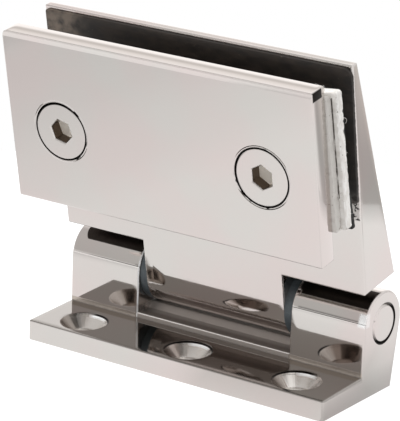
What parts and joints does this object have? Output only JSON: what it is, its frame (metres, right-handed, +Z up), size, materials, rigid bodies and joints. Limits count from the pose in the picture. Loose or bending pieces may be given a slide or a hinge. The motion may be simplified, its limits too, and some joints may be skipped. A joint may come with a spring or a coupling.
{
  "type": "glass door hinge",
  "caption": "Polished steel hinge with a screw-down base and a tilting clamp leaf that grips the edge of a glass pane.",
  "frame": {"origin": "axis of the middle fixing hole, in the plane of the base's underside", "axes": "+X along the hinge axis to the right as seen from the front plate, +Y from the flange to the back, +Z up from the surface that the base is screwed to"},
  "size_m": [0.0942, 0.0482, 0.0889],
  "materials": {
    "polished_steel": "mirror polished stainless steel",
    "screw_steel": "bright stainless steel",
    "bush_plastic": "moulded",
    "sleeve_plastic": "moulded",
    "black_rubber": "calendered sheet",
    "white_fibre": "rough cut fibre sheet"
  },
  "bodies": {
    "base": {"base_bracket": "polished_steel", "hinge_pin": "polished_steel"},
    "leaf": {"leaf_body": "polished_steel", "left_bush": "bush_plastic", "right_bush": "bush_plastic", "jaw_liner": "black_rubber", "packing_front": "white_fibre", "packing_back": "white_fibre", "packing_facing": "black_rubber", "front_plate": "polished_steel", "left_clamp_screw": "screw_steel", "right_clamp_screw": "screw_steel", "left_screw_sleeve": "sleeve_plastic", "right_screw_sleeve": "sleeve_plastic"}
  },
  "joints": [
    {"name": "leaf_swing", "type": "hinge", "parent": "base", "child": "leaf", "pos_m": [0, 0.0198, 0.018], "axis": [1, 0, 0], "range_deg": [-100.8, 62.2]}
  ]
}
